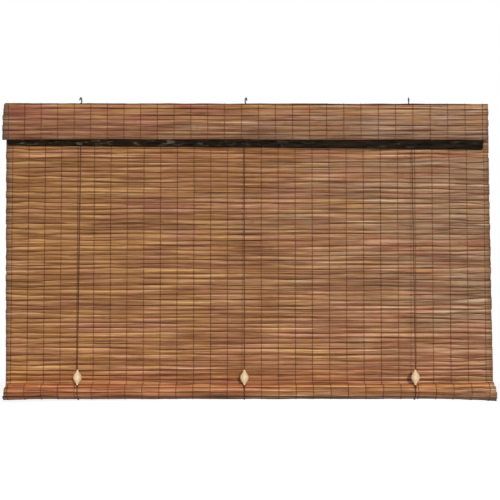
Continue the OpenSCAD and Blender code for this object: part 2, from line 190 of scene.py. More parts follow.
def buildBambooFigure():
    inputs = socketList("Color", "Red", "Gold", "Grey", "Dark")
    inputs += socketList("Float", "Streak depth", "Grey amount", "Edge light", "Crown", "Cell change",
                         "Cell hue", "East grey", "East red", "Tone hue")
    tree, given, made, place = newFigure("bambooFigure", inputs)
    plus, minus, times, timesPlus, absolute = sums(tree, "ADD", "SUBTRACT", "MULTIPLY", "MULTIPLY_ADD",
                                                   "ABSOLUTE")
    tone, phase, index = [attributeOf(tree, name) for name in ("slatTone", "slatPhase", "threadIndex")]
    across, mark, red = [attributeOf(tree, name) for name in ("across", "nodeMark", "slatRed")]
    east = splitXyz(tree, place)["X"]
    fromMiddle = absolute(east)
    margin = (fromMiddle, bambooSet["marginFrom"], bambooSet["marginFull"])
    # each slat takes its noise from a place of its own
    shifted = vectorMaths(tree, "ADD", place, joinXyz(tree, times(phase, 3.1), 0.0, phase))

    def grain(name, detail, roughness=0.55, start=shifted):
        stretched = vectorMaths(tree, "MULTIPLY", start, grainSet[name])
        return noise(tree, stretched, detail=detail, roughness=roughness)

    streak = grain("streak", 4.0, 0.62)
    glint = grain("glint", 2.0, 0.5)
    fibre = grain("fibre", 2.0)
    broad = grain("broad", 3.0, 0.6, place)
    # between two threads a slat keeps one change of hue, of edge light and of tone
    field = joinXyz(tree, maths(tree, "FLOOR", index), times(phase, 97.0))
    white = addNode(tree, "ShaderNodeTexWhiteNoise", {"noise_dimensions": "2D"}, Vector=field)
    cells = addNode(tree, "ShaderNodeSeparateColor", Color=white.outputs["Color"]).outputs

    # hue, from red to gold, changes with the noise, along the slat, with its tone and by cell
    hue = timesPlus(grain("hue", 3.0), 0.5, times(broad, 0.5))
    hue = timesPlus(east, given["East red"], hue)
    hue = timesPlus(tone, given["Tone hue"], hue)
    hue = timesPlus(minus(cells["Red"], 0.4), given["Cell hue"], hue)
    goldShare = spread(tree, hue, bambooSet["allRed"], bambooSet["allGold"])
    colour = mixColour(tree, goldShare, given["Red"], given["Gold"])
    # lighter rows are less grey, and the margins are greyest
    bleach = timesPlus(grain("bleach", 3.0, 0.6), 0.6, timesPlus(broad, -0.4, 0.45))
    bleach = timesPlus(maths(tree, "MAXIMUM", tone, 0.0), bambooSet["lightRowGrey"], bleach)
    bleach = timesPlus(east, given["East grey"], bleach)
    bleached = spread(tree, bleach, bambooSet["greyFrom"], bambooSet["greyFull"])
    grey = maths(tree, "MAXIMUM", bleached, spread(tree, *margin))
    colour = mixColour(tree, times(grey, given["Grey amount"]), colour, given["Grey"])
    dark = times(spread(tree, streak, 0.45, 0.68), given["Streak depth"])
    colour = mixColour(tree, dark, colour, given["Dark"])

    # painted shade in the grooves between slats, darker in runs, and a painted highlight along one edge that
    # sways in breadth
    edge = absolute(across)
    edge = spread(tree, edge, bambooSet["grooveShadeFrom"], 1.0, 0.0, bambooSet["grooveShadeDepth"])
    run = timesPlus(cells["Red"], 0.25, grain("run", 2.0))
    seam = times(edge, spread(tree, run, 0.38, 0.84, 0.08, 1.2))
    rise = plus(across, timesPlus(cells["Green"], 0.3, -0.15))
    rise = plus(timesPlus(grain("sway", 2.0), 4.0, -2.0), rise)
    lip = spread(tree, rise, -0.3, 0.8, -0.6, 1.0)
    # painted shadow beside each thread, darkest at the thread
    aside = maths(tree, "FRACT", plus(index, 0.5))
    aside = absolute(minus(aside, 0.5))
    shade = spread(tree, fibre, 0.28, 0.72, 0.8, 1.16)
    for part in (minus(1.0, seam),
                 timesPlus(lip, given["Edge light"], 1.0),
                 spread(tree, mark, 0.3, 1.0, 1.0, bambooSet["ringShade"]),
                 spread(tree, aside, 0.0, bambooSet["threadShadowReach"], bambooSet["threadShadowLevel"], 1.0),
                 # painted glints along thin streaks
                 timesPlus(spread(tree, glint, 0.5, 0.68), given["Streak depth"], 0.92),
                 spread(tree, *margin, 1.0, bambooSet["marginShade"]),
                 timesPlus(cells["Blue"], given["Cell change"], 1.0)):
        shade = times(shade, part)
    # dark lines keep more red, light ones turn paler, and a light row is a little warmer
    cool = times(maths(tree, "POWER", shade, 1.25), timesPlus(tone, -0.035, 1.02))
    # ruddy rows lose green and blue, least so towards the right end
    ruddy = times(red, spread(tree, east, 0.1, 0.4, 1.0, 0.25))
    green = times(shade, timesPlus(ruddy, bambooSet["ruddyGreen"], 1.0))
    blue = times(cool, timesPlus(ruddy, bambooSet["ruddyBlue"], 1.0))
    cast = joinXyz(tree, maths(tree, "POWER", shade, 0.7), green, blue)
    # the row's tone, random in part and in part painted light and shade, brightens or darkens it evenly
    cast = vectorMaths(tree, "SCALE", cast, timesPlus(tone, bambooSet["toneLight"], bambooSet["baseLight"]))
    feed(tree, made["Colour"], mixColour(tree, 1.0, colour, cast, "MULTIPLY"))
    feed(tree, made["Roughness"], spread(tree, streak, 0.3, 0.75, 0.42, 0.66))
    crown = minus(1.0, times(across, across))
    relief = timesPlus(streak, 0.35, times(fibre, 0.12))
    feed(tree, made["Height"], timesPlus(crown, given["Crown"], relief))
    return tree


# Thread and cord figure
twistSet = {"fuzzScale": 2600.0, "wornScale": 35.0, "mostFaded": 2.6}


def buildTwistFigure():
    inputs = socketList("Color", "Dark", "Light") + socketList("Float", "Lay length", "Strands")
    tree, given, made, place = newFigure("twistFigure", inputs)
    plus, times, timesPlus = sums(tree, "ADD", "MULTIPLY", "MULTIPLY_ADD")
    laps = maths(tree, "DIVIDE", attributeOf(tree, "run"), given["Lay length"])
    wave = times(plus(laps, attributeOf(tree, "turn")), times(given["Strands"], math.tau))
    lobe = spread(tree, maths(tree, "COSINE", wave), -1.0, 0.6)
    fuzz = noise(tree, place, twistSet["fuzzScale"], 3.0)
    worn = noise(tree, place, twistSet["wornScale"], 3.0)
    # painted shade: each strand is lighter on its crown and darker in the groove where it meets the next
    blend = times(lobe, spread(tree, fuzz, 0.25, 0.75, 0.45, 1.0))
    colour = mixColour(tree, blend, given["Dark"], given["Light"])
    # some threads are more faded than others
    faded = spread(tree, attributeOf(tree, "threadPhase"), 0.0, 1.0, 1.0, twistSet["mostFaded"])
    dim = times(spread(tree, worn, 0.35, 0.7, 0.7, 1.25), faded)
    feed(tree, made["Colour"], mixColour(tree, 1.0, colour, joinXyz(tree, dim, dim, dim), "MULTIPLY"))
    feed(tree, made["Roughness"], spread(tree, fuzz, 0.2, 0.8, 0.7, 0.95))
    feed(tree, made["Height"], timesPlus(fuzz, 0.4, lobe))
    return tree


# Figure of turned and planed wood, with pale spots where a finish asks for them
woodSet = {"broadScale": 0.35, "fineScale": 2.2, "rings": 42.0, "paleSpot": (46.0, 110.0, 150.0)}


def buildWoodFigure():
    inputs = socketList("Color", "Light", "Dark", "Spot colour") + socketList("Vector", "Stretch")
    inputs += socketList("Float", "Grain depth", "Spot share")
    tree, given, made, place = newFigure("woodFigure", inputs)
    times, timesPlus = sums(tree, "MULTIPLY", "MULTIPLY_ADD")
    grainPlace = vectorMaths(tree, "MULTIPLY", place, given["Stretch"])
    broad = noise(tree, grainPlace, woodSet["broadScale"], 3.0, 0.55)
    fine = noise(tree, grainPlace, woodSet["fineScale"], 4.0, 0.65)
    rings = maths(tree, "SINE", times(broad, woodSet["rings"]))
    grain = timesPlus(spread(tree, rings, -0.2, 1.0), 0.55, times(spread(tree, fine, 0.42, 0.72), 0.6))
    colour = mixColour(tree, times(grain, given["Grain depth"]), given["Light"], given["Dark"])
    paleSpot = noise(tree, vectorMaths(tree, "MULTIPLY", place, woodSet["paleSpot"]), detail=4.0, roughness=0.6)
    # painted light: pale spots on the rail's near-black, more of them towards the left end
    leftwards = spread(tree, splitXyz(tree, place)["X"], -0.3, 0.15, 1.0, 0.3)
    paleSpots = times(times(spread(tree, paleSpot, 0.53, 0.74), given["Spot share"]), leftwards)
    feed(tree, made["Colour"], mixColour(tree, paleSpots, colour, given["Spot colour"]))
    feed(tree, made["Roughness"], spread(tree, fine, 0.3, 0.75, 0.42, 0.66))
    feed(tree, made["Height"], times(grain, -1.0))
    return tree


# Figure of wire
wireSet = {"cloudScale": 260.0, "speckScale": 1500.0}


def buildMetalFigure():
    inputs = socketList("Color", "Bare", "Coated") + socketList("Float", "Spot share")
    tree, given, made, place = newFigure("metalFigure", inputs)
    cloud = noise(tree, place, wireSet["cloudScale"], 4.0, 0.6)
    speck = noise(tree, place, wireSet["speckScale"], 2.0)
    worn = maths(tree, "MULTIPLY", spread(tree, cloud, 0.5, 0.72), given["Spot share"])
    feed(tree, made["Colour"], mixColour(tree, worn, given["Coated"], given["Bare"]))
    feed(tree, made["Roughness"], spread(tree, speck, 0.3, 0.7, 0.32, 0.5))
    feed(tree, made["Height"], speck)
    return tree


bambooFigure = buildBambooFigure()
twistFigure = buildTwistFigure()
woodFigure = buildWoodFigure()
metalFigure = buildMetalFigure()


# One material per finish: a figure group feeds the Principled shader, and a Bump takes its height
def makeFinish(name, figure, values, bumpStrength, bumpDistance):
    material = bpy.data.materials.new(name)
    material.use_nodes = True
    tree = material.node_tree
    shader = tree.nodes["Principled BSDF"]
    group = tree.nodes.new("ShaderNodeGroup")
    group.node_tree = figure
    for label, value in values.items():
        socket = (group if label in group.inputs else shader).inputs[label]
        socket.default_value = linearColour(*value) if socket.type == "RGBA" else value
    bump = addNode(tree, "ShaderNodeBump", Strength=bumpStrength, Distance=bumpDistance,
                   Height=group.outputs["Height"])
    feed(tree, shader.inputs["Base Color"], group.outputs["Colour"])
    feed(tree, shader.inputs["Roughness"], group.outputs["Roughness"])
    feed(tree, shader.inputs["Normal"], bump.outputs[0])
    return material


# Colours are written as screen values from 0 to 255
innerFace = {"Red": (163, 110, 78), "Gold": (163, 114, 64), "Grey": (159, 131, 102), "Dark": (88, 50, 28),
             "Streak depth": 0.85, "Grey amount": 0.75, "Edge light": 0.4, "Crown": 1.5,
             "Cell change": -0.12, "Cell hue": 0.06, "East grey": 0.42, "East red": 0.1, "Tone hue": 0.06,
             "Specular IOR Level": 0.25}
outerFace = {"Red": (163, 104, 80), "Gold": (169, 121, 76), "Grey": (168, 137, 114), "Dark": (90, 52, 34),
             "Streak depth": 0.85, "Grey amount": 0.85, "Edge light": 0.24, "Crown": 1.0,
             "Cell change": -0.15, "Cell hue": 0.08, "East grey": 0.28, "East red": -0.26, "Tone hue": 0.03,
             "Specular IOR Level": 0.15}
# the roll shows the outer face too, redder and less bleached
rolledFace = {**outerFace, "Red": (164, 102, 68), "Gold": (168, 118, 76), "Streak depth": 1.0,
              "Grey amount": 0.8, "Edge light": 0.3, "East grey": 0.36, "East red": -0.24}
warpThread = {"Dark": (52, 26, 13), "Light": (96, 54, 32), "Lay length": 2.4 * mm, "Strands": 2.0,
              "Specular IOR Level": 0.1}
liftCord = {"Dark": (78, 46, 32), "Light": (134, 88, 65), "Lay length": 7.0 * mm, "Strands": 3.0,
            "Specular IOR Level": 0.1}
# the headrail is real, but its near-black colour is painted shadow: its lower edge below the valance stands
# in for the valance's shade
shadowDarkRail = {"Light": (34, 25, 15), "Dark": (4, 3, 2), "Stretch": (16.0, 160.0, 160.0), "Grain depth": 1.0,
               "Spot colour": (122, 106, 92), "Spot share": 0.75, "Specular IOR Level": 0.02}
poleWood = {"Light": (196, 158, 108), "Dark": (142, 100, 60), "Stretch": (8.0, 220.0, 220.0),
            "Grain depth": 0.8}
beadWood = {"Light": (235, 208, 166), "Dark": (204, 162, 115), "Stretch": (420.0, 420.0, 34.0),
            "Grain depth": 0.6, "Coat Weight": 0.1}
hookSteel = {"Bare": (120, 116, 112), "Coated": (34, 33, 33), "Spot share": 0.35, "Metallic": 0.85}
stapleWire = {"Bare": (205, 205, 208), "Coated": (168, 168, 170), "Spot share": 0.8, "Metallic": 1.0}
# each has a figure, its values, and the strength and depth of its bump
finishes = {
    "slat_inner_face": makeFinish("slatInnerFace", bambooFigure, innerFace, 0.9, 1.0 * mm),
    "slat_outer_face": makeFinish("slatOuterFace", bambooFigure, outerFace, 0.8, 1.0 * mm),
    "rolled_face": makeFinish("slatRolledFace", bambooFigure, rolledFace, 0.8, 1.0 * mm),
    "warp_thread": makeFinish("warpThread", twistFigure, warpThread, 0.6, 0.3 * mm),
    "lift_cord": makeFinish("liftCord", twistFigure, liftCord, 0.5, 0.4 * mm),
    "stained_rail": makeFinish("shadowDarkRail", woodFigure, shadowDarkRail, 0.3, 0.5 * mm),
    "pole_wood": makeFinish("poleWood", woodFigure, poleWood, 0.3, 0.4 * mm),
    "bead_wood": makeFinish("beadWood", woodFigure, beadWood, 0.2, 0.3 * mm),
    "hook_steel": makeFinish("hookSteel", metalFigure, hookSteel, 0.15, 0.2 * mm),
    "staple_wire": makeFinish("stapleWire", metalFigure, stapleWire, 0.1, 0.2 * mm),
}
print("finishes made:", len(finishes))


# Geometry node trees

def placeParts(tree):
    return splitXyz(tree, tree.nodes.new("GeometryNodeInputPosition").outputs[0])


def moveBy(tree, geometry, offset):
    return meshStep(tree, "SetPosition", Geometry=geometry, Offset=offset)


def finishMesh(tree, mesh, finish):
    mesh = meshStep(tree, "SetShadeSmooth", Geometry=mesh)
    return meshStep(tree, "SetMaterial", Geometry=mesh, Material=finish)


# Slat shape: waves in cycles per metre, starts and reaches in metres, and the range of tones
waveSet = {"bow": 3.0, "wander": 2.6, "ripple": 15.0, "twist": 14.0, "rippleFrom": 0.34, "rippleFull": 0.48,
           "rippleShare": 0.6, "freeFrom": 0.3, "freeFull": 0.5, "ringReach": 11 * mm, "tones": (0.2, 0.8)}


def buildSlatTree():
    inputs = socketList("Geometry", "Points") + socketList("Object", "Slat form")
    inputs += socketList("Float", "Thickness", "End spread", "Bow", "Edge wander", "End play", "Twist",
                         "Tilt", "Swell", "Ring spacing", "Index start", "Index slope", "Index bend")
    inputs += socketList("Int", "Seed") + socketList("Material", "Finish")
    tree, given, made = newTree("slatBank", "GeometryNodeTree", inputs, [("Slats", "Geometry")])
    plus, minus, times, timesPlus, absolute = sums(tree, "ADD", "SUBTRACT", "MULTIPLY", "MULTIPLY_ADD",
                                                   "ABSOLUTE")
    seeds = [plus(given["Seed"], float(step)) for step in range(4)]

    def eitherWay(limit, seed):
        return randomField(tree, times(limit, -1.0), limit, seed)

    points = moveBy(tree, given["Points"], joinXyz(tree, eitherWay(given["End spread"], seeds[0])))
    turn = namedField(tree, "slatTurn")
    form = addNode(tree, "GeometryNodeObjectInfo", Object=given["Slat form"]).outputs["Geometry"]
    size = joinXyz(tree, namedField(tree, "slatLength"), given["Thickness"], namedField(tree, "slatWidth"))
    lean = joinXyz(tree, plus(turn, eitherWay(given["Tilt"], seeds[3])))
    rotation = addNode(tree, "FunctionNodeEulerToRotation", Euler=lean).outputs[0]
    bank = meshStep(tree, "InstanceOnPoints", Points=points, Instance=form, Rotation=rotation, Scale=size)
    # a random tone plus the row's painted light and shade
    tone = plus(randomField(tree, *waveSet["tones"], seeds[1]), namedField(tree, "rowTone"))
    bank = storeField(tree, bank, "slatTone", tone, "INSTANCE")
    bank = storeField(tree, bank, "slatPhase", randomField(tree, 0.0, 1.0, seeds[2]), "INSTANCE")
    bank = storeField(tree, bank, "slatRed", namedField(tree, "rowRed"), "INSTANCE")
    bank = meshStep(tree, "RealizeInstances", Geometry=bank)
    parts = placeParts(tree)
    east, phase, across = parts["X"], namedField(tree, "slatPhase"), namedField(tree, "across")
    fromMiddle = absolute(east)

    # level sets one slat or seam apart from the next in the noise
    def wave(cycles, level, reach):
        value = noise(tree, joinXyz(tree, times(east, cycles), level), detail=2.0, size="2D")
        return times(minus(value, 0.5), times(reach, 4.0))

    # near the free ends a finer ripple joins the slow wander
    ends = spread(tree, fromMiddle, waveSet["rippleFrom"], waveSet["rippleFull"], 0.0, waveSet["rippleShare"])

    def seam(name):
        level = times(namedField(tree, name), 17.31)
        ripple = times(wave(waveSet["ripple"], plus(level, 5.3), given["Edge wander"]), ends)
        return plus(wave(waveSet["wander"], level, given["Edge wander"]), ripple)

    # two neighbours share the wandering line between them, so each changes width and no gap opens
    high = times(plus(1.0, across), 0.5)
    seams = plus(times(seam("seamHigh"), high), times(seam("seamLow"), minus(1.0, high)))
    bow = wave(waveSet["bow"], times(parts["Z"], 9.0), given["Bow"])
    freedom = spread(tree, fromMiddle, waveSet["freeFrom"], waveSet["freeFull"], 1.0, given["End play"])
    upward = times(plus(bow, seams), times(freedom, namedField(tree, "slatPlay")))
    outward = times(across, wave(waveSet["twist"], times(phase, 91.0), given["Twist"]))
    sine, cosine = maths(tree, "SINE", turn), maths(tree, "COSINE", turn)
    back = minus(times(outward, cosine), times(upward, sine))
    bend = joinXyz(tree, 0.0, back, timesPlus(outward, sine, times(upward, cosine)))
    slope = timesPlus(east, given["Index bend"], given["Index slope"])
    bank = storeField(tree, bank, "threadIndex", timesPlus(east, slope, given["Index start"]))
    # growth rings of the cane stand out at even steps, each slat from its own start
    lap = plus(maths(tree, "DIVIDE", east, given["Ring spacing"]), times(phase, 7.0))
    lap = minus(maths(tree, "FRACT", lap), 0.5)
    away = times(absolute(lap), given["Ring spacing"])
    mark = spread(tree, away, waveSet["ringReach"], 0.0)
    normal = tree.nodes.new("GeometryNodeInputNormal").outputs[0]
    swell = vectorMaths(tree, "SCALE", normal, times(mark, given["Swell"]))
    bank = storeField(tree, bank, "nodeMark", mark)
    bank = moveBy(tree, bank, vectorMaths(tree, "ADD", bend, swell))
    feed(tree, made["Slats"], finishMesh(tree, bank, given["Finish"]))
    return tree


# Tubes: corners of their section, depth of a cord's lobes, and a thread's sway in cycles per metre
tubeSet = {"threadCorners": 6, "cordCorners": 9, "cordLobes": 0.12, "swayCycles": 24.0}


def sweptTube(tree, curve, radius, corners, lobes=0.0, strands=3.0, layLength=None):
    plus, minus, times = sums(tree, "ADD", "SUBTRACT", "MULTIPLY")
    length = tree.nodes.new("GeometryNodeSplineParameter").outputs["Length"]
    curve = storeField(tree, curve, "run", length)
    ring = meshStep(tree, "CurvePrimitiveCircle", Resolution=corners, Radius=1.0)
    share = tree.nodes.new("GeometryNodeSplineParameter").outputs["Factor"]
    ring = storeField(tree, ring, "turn", share)
    bulge = times(maths(tree, "COSINE", times(share, math.tau * strands)), lobes)
    reach = times(radius, plus(1.0, minus(bulge, lobes)))
    place = tree.nodes.new("GeometryNodeInputPosition").outputs[0]
    place = vectorMaths(tree, "SCALE", place, reach)
    ring = meshStep(tree, "SetPosition", Geometry=ring, Position=place)
    if layLength is not None:
        tilt = times(maths(tree, "DIVIDE", length, layLength), math.tau)
        curve = meshStep(tree, "SetCurveTilt", Curve=curve, Tilt=tilt)
    return meshStep(tree, "CurveToMesh", Curve=curve, Profile_Curve=ring, Fill_Caps=True)


def buildThreadTree():
    inputs = socketList("Geometry", "Points") + socketList("Object", "Strand path")
    inputs += socketList("Float", "Radius", "Sway") + socketList("Int", "Seed")
    inputs += socketList("Material", "Finish")
    tree, given, made = newTree("threadBank", "GeometryNodeTree", inputs, [("Threads", "Geometry")])
    minus, times = sums(tree, "SUBTRACT", "MULTIPLY")
    path = addNode(tree, "GeometryNodeObjectInfo", Object=given["Strand path"]).outputs["Geometry"]
    curve = meshStep(tree, "MeshToCurve", Mesh=path)
    tube = sweptTube(tree, curve, given["Radius"], tubeSet["threadCorners"])
    bank = meshStep(tree, "InstanceOnPoints", Points=given["Points"], Instance=tube)
    bank = storeField(tree, bank, "threadPhase", randomField(tree, 0.0, 1.0, given["Seed"]), "INSTANCE")
    bank = meshStep(tree, "RealizeInstances", Geometry=bank)
    # each thread sways sideways on its way down
    level = times(namedField(tree, "threadPhase"), 83.0)
    along = times(placeParts(tree)["Z"], tubeSet["swayCycles"])
    drift = noise(tree, joinXyz(tree, along, level), detail=3.0, size="2D")
    drift = times(minus(drift, 0.5), times(given["Sway"], 2.0))
    bank = moveBy(tree, bank, joinXyz(tree, drift))
    feed(tree, made["Threads"], finishMesh(tree, bank, given["Finish"]))
    return tree


def buildCordTree():
    inputs = socketList("Geometry", "Path") + socketList("Float", "Radius", "Lay length", "Step")
    inputs += socketList("Material", "Finish")
    tree, given, made = newTree("twistedCord", "GeometryNodeTree", inputs, [("Cord", "Geometry")])
    curve = meshStep(tree, "MeshToCurve", Mesh=given["Path"])
    curve = meshStep(tree, "ResampleCurve", {"mode": "LENGTH"}, Curve=curve, Length=given["Step"])
    tube = sweptTube(tree, curve, given["Radius"], tubeSet["cordCorners"], tubeSet["cordLobes"],
                     liftCord["Strands"], given["Lay length"])
    tube = meshStep(tree, "RealizeInstances", Geometry=tube)
    feed(tree, made["Cord"], finishMesh(tree, tube, given["Finish"]))
    return tree


slatTree = buildSlatTree()
threadTree = buildThreadTree()
cordTree = buildCordTree()
print("geometry trees made")


# Mesh helpers

def meshObject(name, points, edges=(), faces=()):
    mesh = bpy.data.meshes.new(name)
    mesh.from_pydata([tuple(p) for p in points], list(edges), list(faces))
    mesh.update()
    piece = bpy.data.objects.new(name, mesh)
    bpy.context.scene.collection.objects.link(piece)
    return piece


def chainObject(name, *chains):
    points, edges = [], []
    for chain in chains:
        start = len(points)
        points += chain
        edges += [(start + i, start + i + 1) for i in range(len(chain) - 1)]
    return meshObject(name, points, edges)


def ringFaces(rings, around, closed=False):
    corners = ((0, 0), (0, 1), (1, 1), (1, 0))
    return [tuple((i + up) % rings * around + (j + on) % around for up, on in corners)
            for i in range(rings if closed else rings - 1) for j in range(around)]


def faceOutwards(piece):
    work = bmesh.new()
    work.from_mesh(piece.data)
    bmesh.ops.recalc_face_normals(work, faces=work.faces)
    work.to_mesh(piece.data)
    work.free()


# Turns loose points or a chain of edges into a plain mesh by one of the trees
def grow(piece, tree, values):
    modifier = piece.modifiers.new("grow", "NODES")
    modifier.node_group = tree
    sockets = {item.name: item.identifier for item in tree.interface.items_tree
               if item.item_type == "SOCKET" and item.in_out == "INPUT"}
    for label, value in values.items():
        modifier[sockets[label]] = value
    depsgraph = bpy.context.evaluated_depsgraph_get()
    grown = piece.evaluated_get(depsgraph)
    mesh = bpy.data.meshes.new_from_object(grown, preserve_all_data_layers=True, depsgraph=depsgraph)
    piece.modifiers.clear()
    piece.data = mesh
    return piece


def dress(piece, body, slotName, *nodes):
    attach(piece, body)
    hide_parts(*nodes)
    return piece


def discard(piece):
    bpy.data.objects.remove(piece)


# Sizes read from the frame

def readPoints(mesh):
    flat = np.empty(len(mesh.vertices) * 3, np.float32)
    mesh.vertices.foreach_get("co", flat)
    return flat.reshape(-1, 3)


def nodePoints(node):
    return readPoints(frame["nodes"][node].data)


def levels(values, step=0.02 * mm):
    found = []
    for value in np.sort(values):
        if not found or value - found[-1] > step:
            found.append(float(value))
    return found


def slatEdges(node, depth):
    # top and lower edge of each slat whose face lies at this depth
    points = nodePoints(node)
    onFace = np.abs(points[:, 1] - depth) < slatSet["faceReach"]
    heights = levels(points[onFace][:, 2])[::-1]
    bevel = slatSet["bevel"]
    pairs = [(top + bevel, low - bevel) for top, low in zip(heights[0::2], heights[1::2])]
    return [pair for pair in pairs if pair[0] - pair[1] > slatSet["leastWidth"]]


def threadCentres(node):
    edges = levels(nodePoints(node)[:, 0])
    return [(a + b) / 2 for a, b in zip(edges[0::2], edges[1::2])]


joints = {joint["name"]: joint for joint in frame["joints"]}
liftTravel = joints["roll_lift"]["range_m"][1]
rollAxis = Vector(joints["roll_turn"]["pos_m"])
matLow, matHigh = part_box("mat")
valanceLow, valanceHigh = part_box("valance")
rollLow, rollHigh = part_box("roll")
warpPlaces = threadCentres("warp_threads")
matMid = (matLow.y + matHigh.y) / 2
slatThick = matHigh.y - matLow.y
print("threads:", len(warpPlaces), "lift:", liftTravel)

# Slats: one crowned bar of unit length, thickness and width, which every bank repeats
slatSet = {"segments": 110, "sectionCorners": 12, "flatness": 0.42, "crown": 0.66, "bevel": 0.35 * mm,
           "faceReach": 0.05 * mm, "leastWidth": 4 * mm, "overlap": 1.5 * mm, "endSpread": 0.7 * mm,
           "bow": 1.3 * mm, "wander": 1.9 * mm, "endPlay": 2.0, "twist": 0.7 * mm, "tilt": 0.07,
           "swell": 0.12 * mm, "ringSpacing": 0.31}
# what a row of a bank holds after its centre; turns are about X, and seams are numbered
rowFields = ("slatLength", "slatWidth", "slatTurn", "seamHigh", "seamLow", "slatPlay", "rowTone", "rowRed")


def makeSlatForm():
    corners, segments = slatSet["sectionCorners"], slatSet["segments"]
    ring = []
    for i in range(corners):
        angle = math.tau * i / corners
        c, s = math.cos(angle), math.sin(angle)
        ring.append((math.copysign(abs(s) ** slatSet["crown"], s) / 2,
                     math.copysign(abs(c) ** slatSet["flatness"], c) / 2))
    points = [(x / segments - 0.5, y, z) for x in range(segments + 1) for y, z in ring]
    faces = ringFaces(segments + 1, corners)
    faces.append(tuple(range(corners))[::-1])
    faces.append(tuple(segments * corners + i for i in range(corners)))
    form = meshObject("slatForm", points, (), faces)
    faceOutwards(form)
    across = form.data.attributes.new("across", "FLOAT", "POINT")
    across.data.foreach_set("value", [2 * p[2] for p in points])
    return form


def slatBank(name, rows, finishName, places, seed):
    piece = meshObject(name, [row[:3] for row in rows])
    for column, label in enumerate(rowFields, 3):
        field = piece.data.attributes.new(label, "FLOAT", "POINT")
        field.data.foreach_set("value", [row[column] for row in rows])
    # the thread's number at each place along the slats
    bend, slope, start = np.polyfit(places, range(len(places)), 2)
    return grow(piece, slatTree, {
        "Index start": float(start), "Index slope": float(slope), "Index bend": float(bend),
        "Slat form": slatForm, "Thickness": slatThick, "End spread": slatSet["endSpread"],
        "Bow": slatSet["bow"], "Edge wander": slatSet["wander"], "End play": slatSet["endPlay"],
        "Twist": slatSet["twist"], "Tilt": slatSet["tilt"], "Swell": slatSet["swell"],
        "Ring spacing": slatSet["ringSpacing"], "Seed": seed, "Finish": finishes[finishName]})


slatForm = makeSlatForm()

# Mat: painted light makes the lower rows lighter and the rows by the headrail's lower edge paler, and the
# rows by the roll are ruddy
matSet = {"lean": 5.0 * mm, "lowRowPaintedLight": 1.3, "underRailPaintedLight": 1.1, "underRailReach": 14 * mm, "redFrom": 46 * mm,
          "redRun": 14 * mm, "foldSlack": 1.015}
matEdges = slatEdges("mat", matLow.y)
matSpan = matHigh.x - matLow.x
matMidZ = (matLow.z + matHigh.z) / 2
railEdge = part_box("headrail")[0].z


def matRow(number):
    top, low = matEdges[number]
    z = (top + low) / 2
    drop = matHigh.z - matLow.z
    x = (matLow.x + matHigh.x) / 2 + matSet["lean"] * (matMidZ - z) / drop
    # painted light: lower rows lighter, and rows by the headrail's lower edge lifted out of its shadow
    tone = matSet["lowRowPaintedLight"] * ((matHigh.z - z) / drop) ** 3
    if abs(z - railEdge) < matSet["underRailReach"]:
        tone += matSet["underRailPaintedLight"]
    red = min(max((rollAxis.z + matSet["redFrom"] - z) / matSet["redRun"], 0.0), 1.0)
    return (x, matMid, z, matSpan, top - low + slatSet["overlap"], 0.0, number, number + 1, 1.0, tone, red)


def matBank(name, first, last, seed):
    rows = [matRow(i) for i in range(first, last)]
    bank = slatBank(name, rows, "slat_inner_face", warpPlaces, seed)
    return dress(bank, "hanging", "slat_inner_face", "mat")


# the mat splits into an upper and a lower bank at the last slat that stands higher above the roll than its
# lift
foldSlat = max(i for i, (top, low) in enumerate(matEdges)
               if top - rollAxis.z > liftTravel * matSet["foldSlack"])
matBank("matUpper", 0, foldSlat, 11)
matLower = matBank("matLower", foldSlat, len(matEdges), 12)
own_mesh(matLower)

# Valance: front and tail strips and the slat over the top
valanceSet = {"seams": 100, "inset": 4.3 * mm, "insetFrom": 0.55, "play": 0.35, "foldPlay": 0.1,
              "lookUp": -0.1, "lookDown": 0.22, "topRowPaintedLight": 0.45, "lowRowPaintedLight": -1.6}
valanceSpan = valanceHigh.x - valanceLow.x
valanceMidX = (valanceLow.x + valanceHigh.x) / 2
valanceDrop = valanceHigh.z - valanceLow.z


def valanceRow(y, z, width, turn, seam, play):
    rise = (z - valanceLow.z) / valanceDrop - valanceSet["insetFrom"]
    inset = valanceSet["inset"] * max(rise / (1 - valanceSet["insetFrom"]), 0) ** 2
    # painted light and shade: the top row lighter and the rows below darker towards the bottom, as light
    # falls from above
    share = (valanceHigh.z - z) / valanceDrop
    tone = valanceSet["topRowPaintedLight"] + (valanceSet["lowRowPaintedLight"] - valanceSet["topRowPaintedLight"]) * share
    return (valanceMidX + inset / 2, y, z, valanceSpan - inset, width, turn, seam, seam + 1, play, tone, 0.0)


valanceRows = []
for depth, inward in ((valanceLow.y, 1), (valanceHigh.y, -1)):
    for top, low in slatEdges("valance", depth):
        share = (valanceHigh.z - (top + low) / 2) / valanceDrop
        turn = inward * (valanceSet["lookUp"] * (1 - share) + valanceSet["lookDown"] * share ** 2)
        valanceRows.append(valanceRow(depth + inward * slatThick / 2, (top + low) / 2,
                                      top - low + slatSet["overlap"], turn,
                                      valanceSet["seams"] + len(valanceRows), valanceSet["play"]))
valanceRows.append(valanceRow(0.0, valanceHigh.z - slatThick / 2, valanceHigh.y - valanceLow.y, math.pi / 2,
                              valanceSet["seams"] + 2 * len(valanceRows), valanceSet["foldPlay"]))
valancePlaces = threadCentres("valance_threads")
valanceSlats = slatBank("valanceSlats", valanceRows, "slat_outer_face", valancePlaces, 23)
dress(valanceSlats, "hanging", "slat_outer_face", "valance")
print("valance slats:", len(valanceRows))

